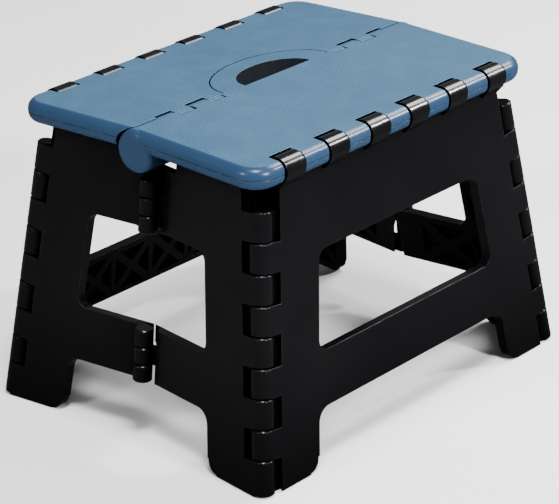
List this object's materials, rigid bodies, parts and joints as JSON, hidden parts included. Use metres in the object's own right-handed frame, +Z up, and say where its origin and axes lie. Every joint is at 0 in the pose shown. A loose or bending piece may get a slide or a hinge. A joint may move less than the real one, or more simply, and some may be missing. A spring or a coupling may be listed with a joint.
{
  "type": "folding step stool",
  "caption": "Folding step stool with an almost flat two-part seat, carry handle with hand hole, leaning side panels and end halves that fold inward on knuckle hinges.",
  "frame": {"origin": "on the floor under the centre of the seat", "axes": "+X along the stool towards its far end, +Y across it towards the rear side panel, +Z up"},
  "size_m": [0.3258, 0.2558, 0.2276],
  "materials": {
    "seat": "fine textured matte top, smooth satin edge",
    "frame": "semi-gloss moulded",
    "pins": "plain drawn wire",
    "pads": "matt"
  },
  "bodies": {
    "side_rear": {"side_panel_rear": "frame", "corner_pin_near_rear": "pins", "corner_pin_far_rear": "pins", "side_pad_near_rear": "pads", "side_pad_far_rear": "pads"},
    "seat_rear": {"seat_rear": "seat", "edge_pin_rear": "pins"},
    "seat_front": {"seat_front": "seat", "edge_pin_front": "pins", "centre_pin_near": "pins", "centre_pin_far": "pins"},
    "side_front": {"side_panel_front": "frame", "corner_pin_near_front": "pins", "corner_pin_far_front": "pins", "side_pad_near_front": "pads", "side_pad_far_front": "pads"},
    "end_near_front": {"end_half_near_front": "frame", "end_pad_near_front": "pads"},
    "end_near_rear": {"end_half_near_rear": "frame", "fold_pin_near_lower": "pins", "fold_pin_near_upper": "pins", "end_pad_near_rear": "pads"},
    "end_far_front": {"end_half_far_front": "frame", "end_pad_far_front": "pads"},
    "end_far_rear": {"end_half_far_rear": "frame", "fold_pin_far_lower": "pins", "fold_pin_far_upper": "pins", "end_pad_far_rear": "pads"}
  },
  "joints": [
    {"name": "seat_rear_hinge", "type": "hinge", "parent": "side_rear", "child": "seat_rear", "pos_m": [0, 0.104, 0.216], "axis": [-1, 0, 0], "range_deg": [0, 71.8]},
    {"name": "centre_hinge", "type": "hinge", "parent": "seat_rear", "child": "seat_front", "pos_m": [0, 0, 0.21163], "axis": [1, 0, 0], "range_deg": [0, 156]},
    {"name": "seat_front_hinge", "type": "hinge", "parent": "seat_front", "child": "side_front", "pos_m": [0, -0.104, 0.216], "axis": [-1, 0, 0], "range_deg": [0, 71.8]},
    {"name": "corner_near_front", "type": "hinge", "parent": "side_front", "child": "end_near_front", "pos_m": [-0.15557, -0.12044, 0], "axis": [-0.1401, -0.1087, -0.9842], "range_deg": [0, 79.92]},
    {"name": "corner_near_rear", "type": "hinge", "parent": "side_rear", "child": "end_near_rear", "pos_m": [-0.15557, 0.12044, 0], "axis": [0.1401, -0.1087, 0.9842], "range_deg": [0, 79.92]},
    {"name": "corner_far_front", "type": "hinge", "parent": "side_front", "child": "end_far_front", "pos_m": [0.15557, -0.12044, 0], "axis": [-0.1401, 0.1087, 0.9842], "range_deg": [0, 79.92]},
    {"name": "corner_far_rear", "type": "hinge", "parent": "side_rear", "child": "end_far_rear", "pos_m": [0.15557, 0.12044, 0], "axis": [0.1401, 0.1087, -0.9842], "range_deg": [0, 79.92]}
  ],
  "couplings": [
    {"joint": "centre_hinge", "follows": "seat_rear_hinge", "ratio": 2.1727},
    {"joint": "seat_front_hinge", "follows": "seat_rear_hinge", "ratio": 1},
    {"joint": "corner_near_front", "follows": "seat_rear_hinge", "ratio": 1.1131},
    {"joint": "corner_near_rear", "follows": "seat_rear_hinge", "ratio": 1.1131},
    {"joint": "corner_far_front", "follows": "seat_rear_hinge", "ratio": 1.1131},
    {"joint": "corner_far_rear", "follows": "seat_rear_hinge", "ratio": 1.1131}
  ]
}
